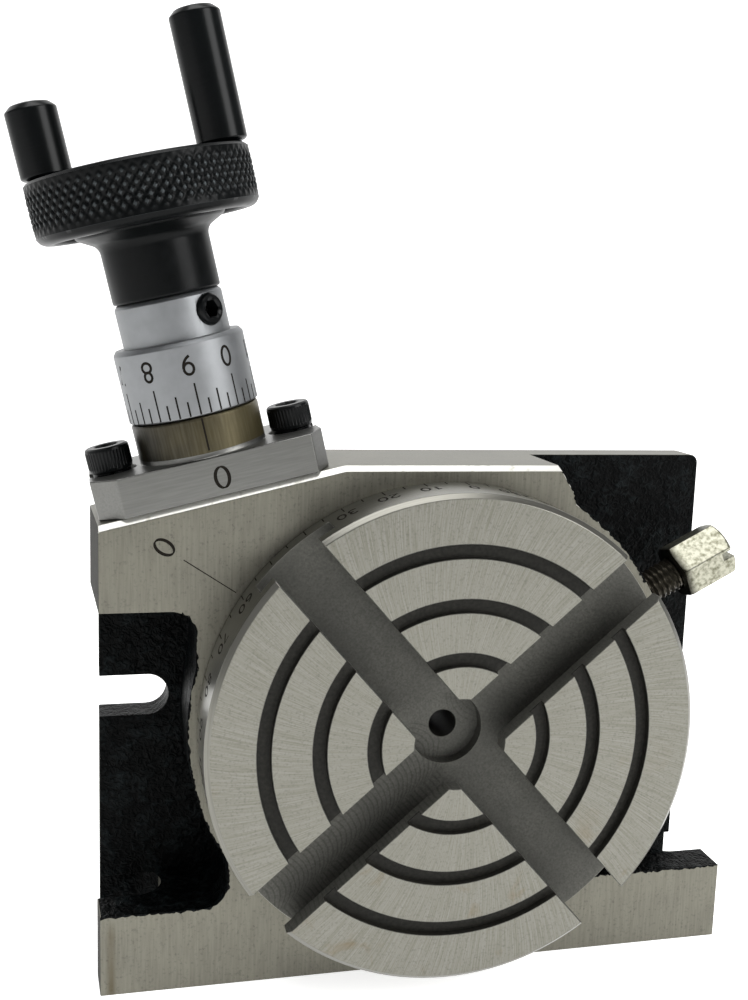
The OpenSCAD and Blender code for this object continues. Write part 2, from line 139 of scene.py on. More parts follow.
bpy.context.scene.collection.objects.link(floor)

world = bpy.data.worlds.new("white room")
world.use_nodes = True
world.node_tree.nodes["Background"].inputs["Color"].default_value = linear("#f7f8fa")
world.node_tree.nodes["Background"].inputs["Strength"].default_value = 0.28
bpy.context.scene.world = world
bpy.context.scene.view_settings.view_transform = "Standard"

middle = sum((Vector(c) for c in cad_box), Vector()) / 2
for name, spot, size, power in (
    ("soft_box_right", (0.45, -0.42, 0.34), 0.35, 2.6),
    ("soft_box_above", (-0.05, -0.10, 0.75), 0.60, 4.4),
    ("soft_box_left", (-0.60, -0.30, 0.25), 0.50, 0.15),
):
    lamp = bpy.data.lights.new(name, "AREA")
    lamp.shape = "SQUARE"
    lamp.size = size
    lamp.energy = power
    holder = bpy.data.objects.new(name, lamp)
    holder.location = spot
    holder.rotation_euler = (middle - Vector(spot)).to_track_quat("-Z", "Y").to_euler()
    bpy.context.scene.collection.objects.link(holder)


# ---- Cast body ----
# Grey iron casting. The front, top, foot and back are ground; the pockets beside the boss keep their
# cast skin under black crackle paint, and the ends are left rough.
def seat_at(origin, along, across):
    """Places a piece's own axes: Z along, X across."""
    along = Vector(along).normalized()
    across = Vector(across)
    across = (across - along * across.dot(along)).normalized()
    up = along.cross(across)
    turn = Matrix((across, up, along)).transposed().to_4x4()
    return Matrix.Translation(origin) @ turn


joints = {j["name"]: j for j in frame["joints"]}
body_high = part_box("body_casting")[1]
table_axis = Vector(joints["table_spin"]["pos_m"])
on_table = seat_at((table_axis.x, body_high.y, table_axis.z), (0, -1, 0), (1, 0, 0))


def shape_of(node, place):
    """The CAD solid in its own axes and in millimetres, with its flat faces joined up."""
    bm = bmesh.new()
    bm.from_mesh(frame["nodes"][node].data)
    bmesh.ops.transform(bm, matrix=Matrix.Scale(1000, 4) @ place.inverted(), verts=bm.verts)
    bmesh.ops.remove_doubles(bm, verts=bm.verts, dist=0.002)
    bmesh.ops.dissolve_limit(
        bm, angle_limit=math.radians(0.6), use_dissolve_boundaries=False, verts=bm.verts, edges=bm.edges
    )
    return bm


def ease_edges(bm, width):
    """Rounds the sharp edges by a width in millimetres."""
    bm.normal_update()
    turn = math.radians(28)
    sharp = [e for e in bm.edges if len(e.link_faces) == 2 and e.calc_face_angle(0) > turn]
    bmesh.ops.bevel(
        bm, geom=sharp, offset=width, offset_type="OFFSET", segments=2, profile=0.5,
        affect="EDGES", clamp_overlap=False, loop_slide=True, material=-1,
    )


def make_piece(bm, name, place, materials, body, stands_for=(), smooth=32):
    """Turns millimetre geometry into an object at its place that rides on a body."""
    bmesh.ops.transform(bm, matrix=Matrix.Scale(0.001, 4), verts=bm.verts)
    for face in bm.faces:
        face.smooth = True
    mesh = bpy.data.meshes.new(name)
    bm.to_mesh(mesh)
    bm.free()
    mesh.set_sharp_from_angle(angle=math.radians(smooth))
    for material in materials:
        mesh.materials.append(material)
    piece = bpy.data.objects.new(name, mesh)
    piece.matrix_world = place
    bpy.context.scene.collection.objects.link(piece)
    weighted = piece.modifiers.new("weighted normals", "WEIGHTED_NORMAL")
    weighted.keep_sharp = True
    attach(piece, body)
    if stands_for:
        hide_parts(*stands_for)


# Surface-ground grey iron: a warm mid grey, faintly cloudy, with graphite specks and a fine upright
# grain. An old rust streak runs down the foot's left end.
ground_iron, surface, mm = finish_named("grey cast iron, surface ground", 0.85, 0.42)
clouds = put(ground_iron, "ShaderNodeTexNoise", {"Vector": mm, "Scale": 1 / 7, "Detail": 4})
grain_line = put(ground_iron, "ShaderNodeMapping", {"Vector": mm, "Scale": (1 / 0.35, 1 / 6, 1 / 0.35)})
grain = put(
    ground_iron, "ShaderNodeTexNoise",
    {"Vector": grain_line.outputs["Vector"], "Scale": 1, "Detail": 3},
)
specks = put(ground_iron, "ShaderNodeTexNoise", {"Vector": mm, "Scale": 1 / 0.45, "Detail": 2})
tone = put(
    ground_iron, "ShaderNodeMix",
    {0: clouds.outputs["Fac"], 6: linear("#5f5d55"), 7: linear("#747267")}, data_type="RGBA",
)
dark = put(
    ground_iron, "ShaderNodeMapRange",
    {"Value": specks.outputs["Fac"], "From Min": 0.56, "From Max": 0.72, "To Max": 0.55},
)
speckled = put(
    ground_iron, "ShaderNodeMix",
    {0: dark.outputs["Result"], 6: tone.outputs[2], 7: linear("#4b4943")}, data_type="RGBA",
)
streaks = put(
    ground_iron, "ShaderNodeMapRange",
    {"Value": grain.outputs["Fac"], "From Min": 0.35, "From Max": 0.65, "To Max": 0.35},
)
streaked = put(
    ground_iron, "ShaderNodeMix",
    {0: streaks.outputs["Result"], 6: speckled.outputs[2], 7: linear("#838277")}, data_type="RGBA",
)
split = put(ground_iron, "ShaderNodeSeparateXYZ", {"Vector": mm})
streak_x = -53.4
off_streak = put(
    ground_iron, "ShaderNodeMath", {0: split.outputs["X"], 1: streak_x}, operation="SUBTRACT",
)
off_streak = put(ground_iron, "ShaderNodeMath", {0: off_streak.outputs[0]}, operation="ABSOLUTE")
near_streak = put(
    ground_iron, "ShaderNodeMapRange",
    {"Value": off_streak.outputs[0], "From Min": 0.9, "From Max": 0.2, "To Max": 1.0},
)
on_foot = put(
    ground_iron, "ShaderNodeMapRange",
    {"Value": split.outputs["Y"], "From Min": -31.0, "From Max": -34.0, "To Max": 1.0},
)
rust = put(
    ground_iron, "ShaderNodeMath",
    {0: near_streak.outputs["Result"], 1: on_foot.outputs["Result"]}, operation="MULTIPLY",
)
rust = put(
    ground_iron, "ShaderNodeMath",
    {0: rust.outputs[0], 1: clouds.outputs["Fac"]}, operation="MULTIPLY",
)
rusted = put(
    ground_iron, "ShaderNodeMix",
    {0: rust.outputs[0], 6: streaked.outputs[2], 7: linear("#43371b")}, data_type="RGBA",
)
feed(surface, Base_Color=rusted.outputs[2])
rough = put(
    ground_iron, "ShaderNodeMapRange",
    {"Value": grain.outputs["Fac"], "To Min": 0.34, "To Max": 0.52},
)
feed(surface, Roughness=rough.outputs["Result"])
bump = put(
    ground_iron, "ShaderNodeBump",
    {"Height": grain.outputs["Fac"], "Strength": 0.35, "Distance": 0.00006},
)
feed(surface, Normal=bump.outputs["Normal"])

# Chamfer along the ground iron's upper front edge, coloured much lighter than the faces beside it as a
# painted highlight, with small darker nicks.
highlighted_bevel, surface, mm = finish_named("grey cast iron, chamfer with painted highlight", 0.6, 0.35)
nicks = put(highlighted_bevel, "ShaderNodeTexNoise", {"Vector": mm, "Scale": 1 / 1.6, "Detail": 4})
worn = put(
    highlighted_bevel, "ShaderNodeMapRange",
    {"Value": nicks.outputs["Fac"], "From Min": 0.58, "From Max": 0.70, "To Max": 0.7},
)
bevel_highlight_tone = put(
    highlighted_bevel, "ShaderNodeMix",
    {0: worn.outputs["Result"], 6: linear("#cfcec8"), 7: linear("#9a988d")}, data_type="RGBA",
)
feed(surface, Base_Color=bevel_highlight_tone.outputs[2])

# Black crackle paint over the cast skin: half-gloss black with wrinkles about a millimetre apart, their
# crests lighter grey, partly mottled paint and partly painted glints.
crackle_paint, surface, mm = finish_named(
    "black crackle paint on cast skin", 0.0, 0.42, Specular_IOR_Level=0.05
)
wrinkles = put(
    crackle_paint, "ShaderNodeTexNoise",
    {"Vector": mm, "Scale": 1 / 1.1, "Detail": 3, "Distortion": 1.2},
)
lumps = put(crackle_paint, "ShaderNodeTexNoise", {"Vector": mm, "Scale": 1 / 2.6, "Detail": 2})
height = put(
    crackle_paint, "ShaderNodeMath",
    {0: wrinkles.outputs["Fac"], 1: lumps.outputs["Fac"]}, operation="ADD",
)
bump = put(
    crackle_paint, "ShaderNodeBump",
    {"Height": height.outputs[0], "Strength": 0.9, "Distance": 0.0006},
)
feed(surface, Normal=bump.outputs["Normal"])
# Painted glints: the wrinkles' crests are tinted lighter grey, partly as mottling of the paint.
glint_and_mottle = put(
    crackle_paint, "ShaderNodeMapRange",
    {"Value": height.outputs[0], "From Min": 1.0, "From Max": 1.45, "To Max": 1.0},
)
paint_and_glint_tone = put(
    crackle_paint, "ShaderNodeMix",
    {0: glint_and_mottle.outputs["Result"], 6: linear("#020303"), 7: linear("#181d1e")}, data_type="RGBA",
)
feed(surface, Base_Color=paint_and_glint_tone.outputs[2])

# Rough casting skin with thin worn paint: nearly black, brownish where iron shows.
cast_skin, surface, mm = finish_named(
    "cast iron, rough skin", 0.1, 0.75, Specular_IOR_Level=0.2
)
skin = put(cast_skin, "ShaderNodeTexNoise", {"Vector": mm, "Scale": 1 / 1.3, "Detail": 5})
skin_tone = put(
    cast_skin, "ShaderNodeMix",
    {0: skin.outputs["Fac"], 6: linear("#11110f"), 7: linear("#38362f")}, data_type="RGBA",
)
feed(surface, Base_Color=skin_tone.outputs[2])
bump = put(
    cast_skin, "ShaderNodeBump",
    {"Height": skin.outputs["Fac"], "Strength": 0.8, "Distance": 0.0004},
)
feed(surface, Normal=bump.outputs["Normal"])

# Heights above the back, the foot's top, the pockets' inner sides and upper edge, and the body's ends.
front_z, ledge_z, foot_y = 20.5, 6.4, -30.5
left_pocket_x, right_pocket_x, pocket_top_y = -34.0, 18.0, 19.8
end_x = 54.2
body = shape_of("body_casting", on_table)

# The paint laps a little over the ground front, with a ragged edge.
lap = bmesh.new()
body.normal_update()
for edge in body.edges:
    if len(edge.link_faces) != 2 or any(abs(v.co.z - front_z) > 0.02 for v in edge.verts):
        continue
    walls = [f for f in edge.link_faces if abs(f.normal.z) < 0.2]
    if len(walls) != 1 or walls[0].calc_center_median().z > front_z - 2 or walls[0].normal.y < -0.9:
        continue
    start, end = (v.co.copy() for v in edge.verts)
    at_left = start.x < left_pocket_x and start.y < pocket_top_y
    on_end = abs(start.x) > end_x and abs(end.x) > end_x
    if on_end or start.y <= foot_y - 0.1 or not (at_left or start.x > right_pocket_x):
        continue
    steps = max(1, int((end - start).length / 0.35))
    inward = -walls[0].normal
    rows = []
    for k in range(steps + 1):
        point = start.lerp(end, k / steps)
        ragged = noise.noise(point * 0.9) * 0.35 + noise.noise(point * 2.7) * 0.3
        outer = point + inward * max(0.06, 0.26 + ragged)
        section = ((point, 0.03), (outer, 0.03), (outer, -0.1), (point, -0.1))
        rows.append([lap.verts.new((p.x, p.y, front_z + lift)) for p, lift in section])
    for a, b in zip(rows, rows[1:]):
        for k in range(4):
            lap.faces.new((a[k], a[(k + 1) % 4], b[(k + 1) % 4], b[k]))
    lap.faces.new(rows[0][::-1])
    lap.faces.new(rows[-1])
bmesh.ops.recalc_face_normals(lap, faces=lap.faces)
make_piece(lap, "paint_lap", on_table, [crackle_paint], "base")

# Each face takes its finish from where it lies: painted in the pockets, slots and notches, rough on the
# ends, a painted highlight on the front's upper chamfer, and ground on the rest.
ease_edges(body, 0.16)
body.normal_update()
body_finishes = [ground_iron, highlighted_bevel, crackle_paint, cast_skin]
ground, on_highlight, painted, rough_skin = range(4)
slot_y = 1.7
for face in body.faces:
    c, n = face.calc_center_median(), face.normal
    at_left = c.x < left_pocket_x and c.y < pocket_top_y
    in_pocket = c.y > foot_y - 0.1 and (at_left or c.x > right_pocket_x + 0.9)
    in_notch = abs(c.x) > 43.5 and c.y < foot_y + 0.6 and 4.3 < c.z < 14.2 and abs(n.x) < 0.95
    in_slot = abs(c.x) > 43 and abs(c.y - slot_y) < 3.7 and c.z < ledge_z and abs(n.z) < 0.9
    inside = abs(c.x) < end_x + 0.3
    pocket_wall = inside and abs(n.z) < 0.9 and ledge_z - 0.1 < c.z < front_z - 0.08
    pocket_floor = n.z > 0.9 and abs(c.z - ledge_z) < 0.3
    if in_notch or in_slot or in_pocket and (pocket_wall or pocket_floor):
        face.material_index = painted
    elif abs(n.x) > 0.9 and abs(c.x) > 49.5:
        face.material_index = rough_skin
    # The front's upper chamfer takes the painted highlight.
    elif c.y > 30 and 0.3 < n.z < 0.95 and c.z > 19:
        face.material_index = on_highlight
    else:
        face.material_index = ground
make_piece(body, "cast_body", on_table, body_finishes, "base", ["body_casting"])


# Engraved marks on the body: the index line for the table's scale and its zero, filled with black wax.
# One stroke is a narrow closed strip that lies a hundredth of a millimetre proud of the surface.
stroke_top, stroke_root = 0.012, -0.03
scale_black, surface, _ = finish_named("black engraving wax", 0.0, 0.7, Specular_IOR_Level=0.1)
surface.inputs["Base Color"].default_value = linear("#16130f")


def cut_stroke(bm, line, width, wrap, thin=1.0, closed=False):
    """One engraved stroke along points in millimetres; wrap lays them on the surface."""
    count = len(line)
    rows = []
    for k, point in enumerate(line):
        before = line[(k - 1) % count] if closed or k > 0 else line[k]
        after = line[(k + 1) % count] if closed or k < count - 1 else line[k]
        run = (Vector(after) - Vector(before)).normalized()
        half = width / 2 * (thin + (1 - thin) * abs(run.y))
        side = Vector((-run.y, run.x)) * half
        p = Vector(point)
        left, right = (p.x + side.x, p.y + side.y), (p.x - side.x, p.y - side.y)
        section = ((left, stroke_top), (right, stroke_top), (right, stroke_root), (left, stroke_root))
        rows.append([bm.verts.new(wrap(*q, lift)) for q, lift in section])
    pairs = list(zip(rows, rows[1:])) + ([(rows[-1], rows[0])] if closed else [])
    for a, b in pairs:
        for k in range(4):
            bm.faces.new((a[k], a[(k + 1) % 4], b[(k + 1) % 4], b[k]))
    if not closed:
        bm.faces.new(rows[0][::-1])
        bm.faces.new(rows[-1])


def arc(cx, cy, rx, ry, start, end, steps=14):
    """Points round part of an ellipse, in degrees."""
    angles = [math.radians(start + (end - start) * k / steps) for k in range(steps + 1)]
    return [(cx + rx * math.cos(a), cy + ry * math.sin(a)) for a in angles]


marks = bmesh.new()
zero_turn = math.radians(56.5)


def on_front(u, v, lift):
    """Lays the zero on the front, turned to read along its index line."""
    x = u * math.cos(zero_turn) - v * math.sin(zero_turn)
    y = u * math.sin(zero_turn) + v * math.cos(zero_turn)
    return (-45.2 + x, 29.9 + y, front_z + lift)


cut_stroke(marks, arc(0, 0, 1.0, 1.65, 0, 360, 40)[:-1], 0.5, on_front, thin=0.45, closed=True)
index_angle = math.radians(146.6)
index_line = [(r * math.cos(index_angle), r * math.sin(index_angle)) for r in (40.8, 50.6)]
cut_stroke(marks, index_line, 0.16, lambda u, v, lift: (u, v, front_z + lift))
make_piece(marks, "body_index_marks", on_table, [scale_black], "base")


# ---- Table ----
# Fine grey iron disc, turned all over and its face ground on a rotary grinder. Four T-slots are milled
# right through the rim, three ring grooves are turned in the face, and the rim carries a degree scale.
face_z = (body_high.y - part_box("table_top")[0].y) * 1000
groove_radii, groove_half, groove_depth = (13.8, 22.4, 31.0), 1.4, 1.4
first_slot = 41.4

# Rotary-ground iron: the wheel leaves fine, slightly curved lines that run out from the centre, about
# 0.15 mm apart at mid radius, with faint rust bloom in the lower half where coolant stood.
ground_face, surface, mm = finish_named("grey cast iron, rotary ground", 0.85, 0.4)
flat = put(ground_face, "ShaderNodeVectorMath", {0: mm, 1: (1, 1, 0)}, operation="MULTIPLY")
radius = put(ground_face, "ShaderNodeVectorMath", {0: flat.outputs["Vector"]}, operation="LENGTH")
bearing = put(ground_face, "ShaderNodeVectorMath", {0: flat.outputs["Vector"]}, operation="NORMALIZE")
swirl = put(ground_face, "ShaderNodeMath", {0: radius.outputs["Value"], 1: 0.006}, operation="MULTIPLY")
swept = put(
    ground_face, "ShaderNodeVectorRotate",
    {"Vector": bearing.outputs["Vector"], "Angle": swirl.outputs[0]}, rotation_type="Z_AXIS",
)
line_place = put(
    ground_face, "ShaderNodeVectorMath",
    {0: swept.outputs["Vector"], 1: (170, 170, 170)}, operation="MULTIPLY",
)
run_out = put(
    ground_face, "ShaderNodeMath", {0: radius.outputs["Value"], 1: 0.16}, operation="MULTIPLY"
)
run_vector = put(ground_face, "ShaderNodeCombineXYZ", {"Z": run_out.outputs[0]})
line_vector = put(
    ground_face, "ShaderNodeVectorMath",
    {0: line_place.outputs["Vector"], 1: run_vector.outputs["Vector"]}, operation="ADD",
)
lines = put(
    ground_face, "ShaderNodeTexNoise",
    {"Vector": line_vector.outputs["Vector"], "Scale": 1.0, "Detail": 3, "Roughness": 0.65},
)
line_mix = put(
    ground_face, "ShaderNodeMapRange",
    {"Value": lines.outputs["Fac"], "From Min": 0.33, "From Max": 0.67, "To Max": 1.0},
)
lined = put(
    ground_face, "ShaderNodeMix",
    {0: line_mix.outputs["Result"], 6: linear("#6d6c62"), 7: linear("#82817a")}, data_type="RGBA",
)
grit = put(ground_face, "ShaderNodeTexNoise", {"Vector": mm, "Scale": 1 / 0.4, "Detail": 3})
grit_mix = put(
    ground_face, "ShaderNodeMapRange",
    {"Value": grit.outputs["Fac"], "From Min": 0.52, "From Max": 0.75, "To Max": 0.5},
)
gritty = put(
    ground_face, "ShaderNodeMix",
    {0: grit_mix.outputs["Result"], 6: lined.outputs[2], 7: linear("#57564f")}, data_type="RGBA",
)
bloom = put(
    ground_face, "ShaderNodeTexNoise",
    {"Vector": mm, "Scale": 1 / 6, "Detail": 5, "Distortion": 0.6},
)
split = put(ground_face, "ShaderNodeSeparateXYZ", {"Vector": mm})
low_half = put(
    ground_face, "ShaderNodeMapRange",
    {"Value": split.outputs["Y"], "From Min": 0.0, "From Max": -30.0, "To Max": 1.0},
)
bloom_mask = put(
    ground_face, "ShaderNodeMapRange",
    {"Value": bloom.outputs["Fac"], "From Min": 0.60, "From Max": 0.74, "To Max": 0.55},
)
rusty = put(
    ground_face, "ShaderNodeMath",
    {0: bloom_mask.outputs["Result"], 1: low_half.outputs["Result"]}, operation="MULTIPLY",
)
rusted = put(
    ground_face, "ShaderNodeMix",
    {0: rusty.outputs[0], 6: gritty.outputs[2], 7: linear("#65522f")}, data_type="RGBA",
)
feed(surface, Base_Color=rusted.outputs[2])
rough = put(
    ground_face, "ShaderNodeMapRange",
    {"Value": lines.outputs["Fac"], "To Min": 0.30, "To Max": 0.50},
)
feed(surface, Roughness=rough.outputs["Result"])
bump = put(
    ground_face, "ShaderNodeBump",
    {"Height": lines.outputs["Fac"], "Strength": 0.4, "Distance": 0.00005},
)
feed(surface, Normal=bump.outputs["Normal"])

# Milled slot: as-milled iron, dark with oil. The cutter's arcs, about a millimetre apart, show in the
# first slot's direction, most of all at its lower end.
milled_slot, surface, mm = finish_named(
    "grey cast iron, milled and oily", 0.45, 0.55, Specular_IOR_Level=0.25
)
pores = put(milled_slot, "ShaderNodeTexNoise", {"Vector": mm, "Scale": 1 / 0.35, "Detail": 4})
patches = put(milled_slot, "ShaderNodeTexNoise", {"Vector": mm, "Scale": 1 / 9, "Detail": 2})
slot_turn = math.radians(-first_slot)
in_slots = put(
    milled_slot, "ShaderNodeVectorRotate",
    {"Vector": mm, "Angle": slot_turn}, rotation_type="Z_AXIS",
)
upright_part = put(
    milled_slot, "ShaderNodeVectorMath", {0: in_slots.outputs["Vector"]}, operation="ABSOLUTE"
)
split = put(milled_slot, "ShaderNodeSeparateXYZ", {"Vector": upright_part.outputs["Vector"]})
run = put(
    milled_slot, "ShaderNodeMath",
    {0: split.outputs["X"], 1: split.outputs["Y"]}, operation="MAXIMUM",
)
across = put(
    milled_slot, "ShaderNodeMath",
    {0: split.outputs["X"], 1: split.outputs["Y"]}, operation="MINIMUM",
)
across = put(milled_slot, "ShaderNodeMath", {0: across.outputs[0], 1: 2.0}, operation="POWER")
sweep_in = put(milled_slot, "ShaderNodeMath", {0: 21.0, 1: across.outputs[0]}, operation="SUBTRACT")
sweep_in = put(milled_slot, "ShaderNodeMath", {0: sweep_in.outputs[0], 1: 0.5}, operation="POWER")
path = put(milled_slot, "ShaderNodeMath", {0: run.outputs[0], 1: sweep_in.outputs[0]}, operation="ADD")
wobble = put(
    milled_slot, "ShaderNodeMath",
    {0: patches.outputs["Fac"], 1: 2.5, 2: path.outputs[0]}, operation="MULTIPLY_ADD",
)
turns = put(
    milled_slot, "ShaderNodeMath",
    {0: wobble.outputs[0], 1: 2 * math.pi / 0.95}, operation="MULTIPLY",
)
arcs = put(milled_slot, "ShaderNodeMath", {0: turns.outputs[0]}, operation="SINE")
arc_mix = put(
    milled_slot, "ShaderNodeMapRange",
    {"Value": arcs.outputs[0], "From Min": 0.2, "From Max": 1.0, "To Max": 0.3},
)
along_first = put(
    milled_slot, "ShaderNodeMath",
    {0: split.outputs["X"], 1: split.outputs["Y"]}, operation="GREATER_THAN",
)
signed = put(milled_slot, "ShaderNodeSeparateXYZ", {"Vector": in_slots.outputs["Vector"]})
near_half = put(
    milled_slot, "ShaderNodeMapRange",
    {"Value": signed.outputs["X"], "From Min": 8.0, "From Max": -4.0, "To Min": 0.35, "To Max": 1.0},
)
arc_part = put(
    milled_slot, "ShaderNodeMath",
    {0: along_first.outputs[0], 1: near_half.outputs["Result"]}, operation="MULTIPLY",
)
arc_share = put(
    milled_slot, "ShaderNodeMath",
    {0: arc_mix.outputs["Result"], 1: arc_part.outputs[0]}, operation="MULTIPLY",
)
pored = put(
    milled_slot, "ShaderNodeMix",
    {0: pores.outputs["Fac"], 6: linear("#2c2c28"), 7: linear("#7b7a73")}, data_type="RGBA",
)
patched = put(
    milled_slot, "ShaderNodeMix",
    {0: patches.outputs["Fac"], 6: pored.outputs[2], 7: linear("#474743")}, data_type="RGBA",
)
scored = put(
    milled_slot, "ShaderNodeMix",
    {0: arc_share.outputs[0], 6: patched.outputs[2], 7: linear("#20201c")}, data_type="RGBA",
)
feed(surface, Base_Color=scored.outputs[2])
slot_height = put(
    milled_slot, "ShaderNodeMath",
    {0: arc_share.outputs[0], 1: 0.8, 2: pores.outputs["Fac"]}, operation="MULTIPLY_ADD",
)
bump = put(
    milled_slot, "ShaderNodeBump",
    {"Height": slot_height.outputs[0], "Strength": 0.4, "Distance": 0.0001},
)
feed(surface, Normal=bump.outputs["Normal"])

# Turned groove: near black with lighter flecks, a little torn at its edges.
near_black_groove, surface, mm = finish_named(
    "grey cast iron, near-black groove", 0.1, 0.5, Specular_IOR_Level=0.15
)
torn = put(near_black_groove, "ShaderNodeTexNoise", {"Vector": mm, "Scale": 1 / 0.6, "Detail": 4})
torn_tone = put(
    near_black_groove, "ShaderNodeMix",
    {0: torn.outputs["Fac"], 6: linear("#080807"), 7: linear("#2f2e29")}, data_type="RGBA",
)
feed(surface, Base_Color=torn_tone.outputs[2])

# Turned rim: circular tool lines across its width, half bright.
turned_rim, surface, mm = finish_named("grey cast iron, turned", 0.9, 0.3)
rim_place = put(turned_rim, "ShaderNodeMapping", {"Vector": mm, "Scale": (1 / 14, 1 / 14, 1 / 0.22)})
rim_lines = put(
    turned_rim, "ShaderNodeTexNoise",
    {"Vector": rim_place.outputs["Vector"], "Scale": 1, "Detail": 3},
)
rim_tone = put(
    turned_rim, "ShaderNodeMix",
    {0: rim_lines.outputs["Fac"], 6: linear("#5f5e57"), 7: linear("#85847d")}, data_type="RGBA",
)
feed(surface, Base_Color=rim_tone.outputs[2])
bump = put(
    turned_rim, "ShaderNodeBump",
    {"Height": rim_lines.outputs["Fac"], "Strength": 0.4, "Distance": 0.00005},
)
feed(surface, Normal=bump.outputs["Normal"])

# Each face takes its finish from its radii and height: ground on top, near black in the ring grooves and
# the centre hole, milled in the slots, and turned on the rim and below.
disc = shape_of("table_top", on_table)
ease_edges(disc, 0.12)
disc.normal_update()
disc_finishes = [ground_face, milled_slot, near_black_groove, turned_rim]
on_face, in_slot, in_ring, on_rim_side = range(4)
for face in disc.faces:
    c, n = face.calc_center_median(), face.normal
    radii = [v.co.xy.length for v in face.verts]
    inner, outer = min(radii), max(radii)
    groove = any(g - groove_half < inner and outer < g + groove_half for g in groove_radii)
    rim_chamfer = inner > 38.5 and n.z > 0.3
    if n.z > 0.97 and c.z > face_z - 0.1:
        face.material_index = on_face
    elif groove and face_z - groove_depth < c.z < face_z - 0.03 or outer < 2.4:
        face.material_index = in_ring
    elif inner < 39.2 and c.z > face_z - 12 and outer < 40.1 and not rim_chamfer:
        face.material_index = in_slot
    else:
        face.material_index = on_rim_side
make_piece(disc, "table_disc", on_table, disc_finishes, "table", ["table_top"])

# The degree scale round the rim: a line every 5 degrees from the lower edge, and a figure every 10.
# Each figure is made of strokes in a cell 0.6 wide and 1 high.
figures = {
    "0": [arc(0.3, 0.5, 0.27, 0.5, 0, 360, 26)],
    "1": [[(0.14, 0.80), (0.34, 1.0), (0.34, 0.0)]],
    "2": [arc(0.3, 0.72, 0.26, 0.28, 165, -30) + [(0.04, 0.0), (0.58, 0.0)]],
    "3": [arc(0.28, 0.75, 0.24, 0.25, 150, -90), arc(0.28, 0.26, 0.28, 0.26, 90, -150)],
    "4": [[(0.44, 0.0), (0.44, 1.0), (0.02, 0.30), (0.60, 0.30)]],
    "5": [[(0.54, 1.0), (0.12, 1.0), (0.08, 0.58)] + arc(0.28, 0.32, 0.28, 0.32, 125, -150)],
    "6": [arc(0.3, 0.30, 0.26, 0.30, 0, 360, 22), arc(0.66, 0.34, 0.62, 0.66, 180, 110, 8)],
    "7": [[(0.04, 1.0), (0.58, 1.0), (0.22, 0.0)]],
    "8": [arc(0.3, 0.75, 0.22, 0.25, 0, 360, 20), arc(0.3, 0.26, 0.27, 0.26, 0, 360, 22)],
    "9": [arc(0.3, 0.70, 0.26, 0.30, 0, 360, 22), arc(-0.06, 0.66, 0.62, 0.66, 0, -70, 8)],
}


def cut_figures(bm, text, height, width, wrap):
    """Engraves figures centred on wrap's origin."""
    pitch = 0.82 * height
    start = -(len(text) - 1) * pitch / 2 - 0.3 * height
    for k, figure in enumerate(text):
        for line in figures[figure]:
            shifted = [(start + k * pitch + x * height, (y - 0.5) * height) for x, y in line]
            cut_stroke(bm, shifted, width, wrap)


scale = bmesh.new()
rim_r = 40.0
rim_low = face_z - 11.6
for k in range(72):
    bearing_angle = math.radians(86.4 + 5 * k)

    def on_rim(u, v, lift, start=bearing_angle):
        a = start + u / rim_r
        return ((rim_r + lift) * math.cos(a), (rim_r + lift) * math.sin(a), rim_low + v)

    cut_stroke(scale, [(0, 0.5), (0, 2.9 if k % 2 == 0 else 2.2)], 0.2, on_rim)
    if k % 2 == 0:
        cut_figures(scale, str(5 * k), 2.4, 0.34, lambda u, v, lift, f=on_rim: f(u, v + 5.2, lift))
# Strokes over a slot's open end are left out: the undercut is wider than the neck above it.
for vert in scale.verts:
    a = math.degrees(math.atan2(vert.co.y, vert.co.x))
    off = (a - first_slot + 45) % 90 - 45
    half_gap = 7.7 if vert.co.z < face_z - 3.1 else 4.7
    vert.tag = abs(math.radians(off)) * rim_r < half_gap and vert.co.z > face_z - 8.0
loose = [f for f in scale.faces if any(v.tag for v in f.verts)]
bmesh.ops.delete(scale, geom=loose, context="FACES")
make_piece(scale, "table_degree_scale", on_table, [scale_black], "table")


# ---- Worm wheel and what holds the table down ----
# A bronze wheel screwed and dowelled under the table's hub, a bronze thrust washer, and a steel plate
# with countersunk screws that keeps the spindle in the body. Only the plate shows, from behind.
turned_bronze, surface, mm = finish_named("tin bronze, hobbed and turned", 1.0, 0.3)
bronze_noise = put(turned_bronze, "ShaderNodeTexNoise", {"Vector": mm, "Scale": 1 / 3, "Detail": 3})
bronze_tone = put(
    turned_bronze, "ShaderNodeMix",
    {0: bronze_noise.outputs["Fac"], 6: linear("#a97c3f"), 7: linear("#c99a58")}, data_type="RGBA",
)
feed(surface, Base_Color=bronze_tone.outputs[2])

# Turned mild steel: bright grey with fine lines.
turned_steel, surface, mm = finish_named("mild steel, turned", 1.0, 0.32)
steel_noise = put(turned_steel, "ShaderNodeTexNoise", {"Vector": mm, "Scale": 1 / 1.5, "Detail": 3})
steel_tone = put(
    turned_steel, "ShaderNodeMix",
    {0: steel_noise.outputs["Fac"], 6: linear("#8c8d8c"), 7: linear("#b0b1af")}, data_type="RGBA",
)
feed(surface, Base_Color=steel_tone.outputs[2])

# Black-oxide fasteners: blue-black, half gloss, with a film of oil.
black_oxide, surface, mm = finish_named(
    "alloy steel, black oxide", 0.0, 0.3, Specular_IOR_Level=0.14
)
oxide_noise = put(black_oxide, "ShaderNodeTexNoise", {"Vector": mm, "Scale": 1 / 0.8, "Detail": 3})
oxide_tone = put(
    black_oxide, "ShaderNodeMix",
    {0: oxide_noise.outputs["Fac"], 6: linear("#030404"), 7: linear("#0b0d0e")}, data_type="RGBA",
)
feed(surface, Base_Color=oxide_tone.outputs[2])


def finish_node(material, *nodes):
    """Gives CAD pieces that keep their shape their real finish."""
    for node in nodes:
        mesh = frame["nodes"][node].data
        mesh.materials.clear()
        mesh.materials.append(material)


